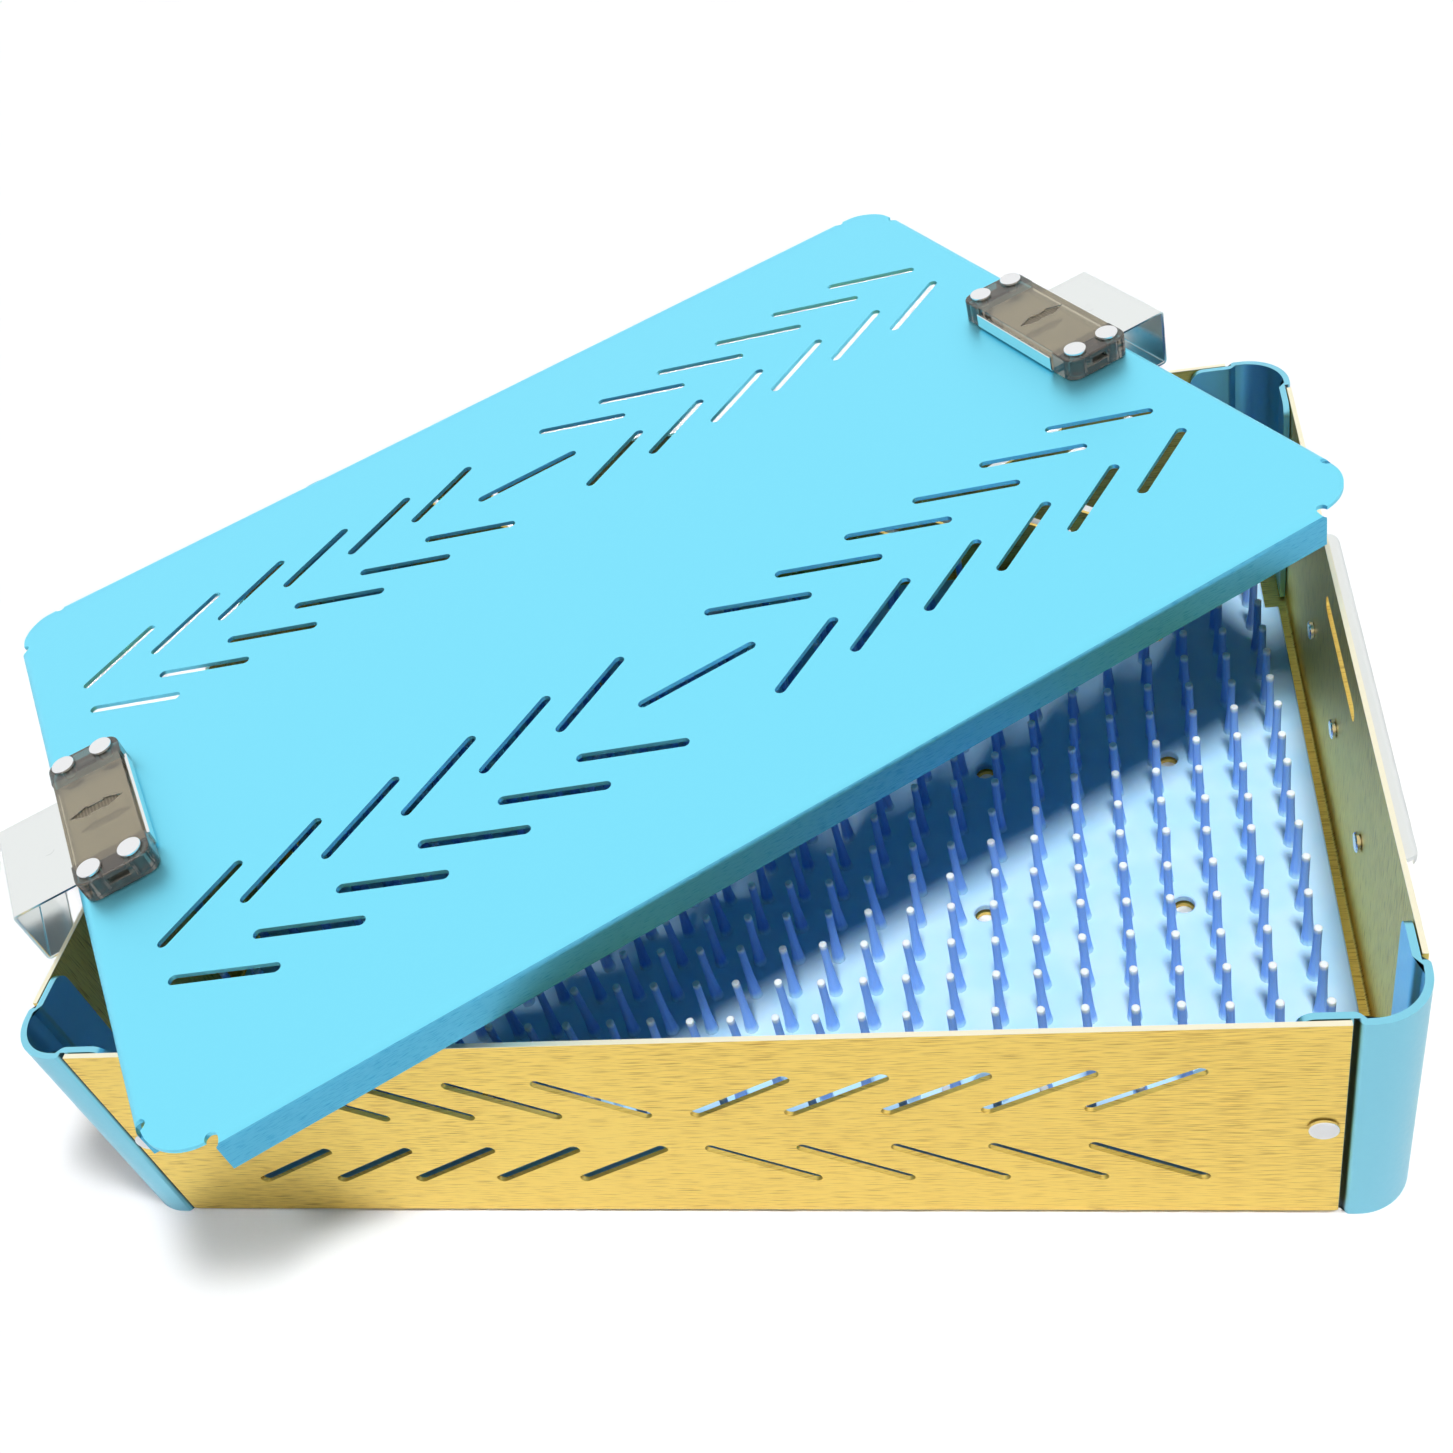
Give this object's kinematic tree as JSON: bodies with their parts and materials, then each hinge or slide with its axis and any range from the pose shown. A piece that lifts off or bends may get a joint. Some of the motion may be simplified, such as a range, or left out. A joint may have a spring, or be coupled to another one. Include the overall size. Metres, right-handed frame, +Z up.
{
  "type": "aluminium sterilization box",
  "caption": "Aluminium instrument sterilization box: gold tray with blue corner posts and silicone finger mat, slotted blue lid resting askew with slide latches drawn out.",
  "frame": {"origin": "middle of the tray's underside, on the surface that the box stands on", "axes": "+X along the tray's long side to the right in the picture, +Y along its short side away from the camera, +Z up"},
  "size_m": [0.3187, 0.2965, 0.0806],
  "materials": {
    "gold_aluminium": "brushed gold anodised",
    "blue_aluminium": "brushed sky blue anodised",
    "post_aluminium": "satin light blue anodised",
    "stainless_steel": "bright satin",
    "rivet_aluminium": "bright",
    "silicone": "milky translucent blue",
    "smoky_plastic": "smoky translucent, polished"
  },
  "bodies": {
    "tray": {"box_tray": "gold_aluminium", "front_left_post": "post_aluminium", "front_right_post": "post_aluminium", "back_left_post": "post_aluminium", "back_right_post": "post_aluminium", "front_left_post_rivet_long": "rivet_aluminium", "front_left_post_rivet_end": "rivet_aluminium", "front_right_post_rivet_long": "rivet_aluminium", "front_right_post_rivet_end": "rivet_aluminium", "back_left_post_rivet_long": "rivet_aluminium", "back_left_post_rivet_end": "rivet_aluminium", "back_right_post_rivet_long": "rivet_aluminium", "back_right_post_rivet_end": "rivet_aluminium", "left_handle_bracket": "stainless_steel", "right_handle_bracket": "stainless_steel", "left_bracket_rivet_1": "rivet_aluminium", "left_bracket_rivet_2": "rivet_aluminium", "left_bracket_rivet_3": "rivet_aluminium", "right_bracket_rivet_1": "rivet_aluminium", "right_bracket_rivet_2": "rivet_aluminium", "right_bracket_rivet_3": "rivet_aluminium"},
    "mat": {"silicone_mat": "silicone"},
    "lid": {"lid_cover": "blue_aluminium", "left_latch_housing": "smoky_plastic", "right_latch_housing": "smoky_plastic", "left_latch_rivet_1": "rivet_aluminium", "left_latch_rivet_2": "rivet_aluminium", "left_latch_rivet_3": "rivet_aluminium", "left_latch_rivet_4": "rivet_aluminium", "right_latch_rivet_1": "rivet_aluminium", "right_latch_rivet_2": "rivet_aluminium", "right_latch_rivet_3": "rivet_aluminium", "right_latch_rivet_4": "rivet_aluminium"},
    "left_latch": {"left_latch_slide": "stainless_steel"},
    "right_latch": {"right_latch_slide": "stainless_steel"}
  },
  "joints": [
    {"name": "mat_lift", "type": "slide", "parent": "tray", "child": "mat", "axis": [0, 0, 1], "range_m": [0, 0.035]},
    {"name": "lid_lift", "type": "slide", "parent": "tray", "child": "lid", "axis": [0, 0, 1], "range_m": [0, 0.12]},
    {"name": "left_latch_slide_in", "type": "slide", "parent": "lid", "child": "left_latch", "axis": [0.8264, 0.5625, 0.025], "range_m": [0, 0.0025]},
    {"name": "right_latch_slide_in", "type": "slide", "parent": "lid", "child": "right_latch", "axis": [-0.8264, -0.5625, -0.025], "range_m": [0, 0.0117]}
  ]
}
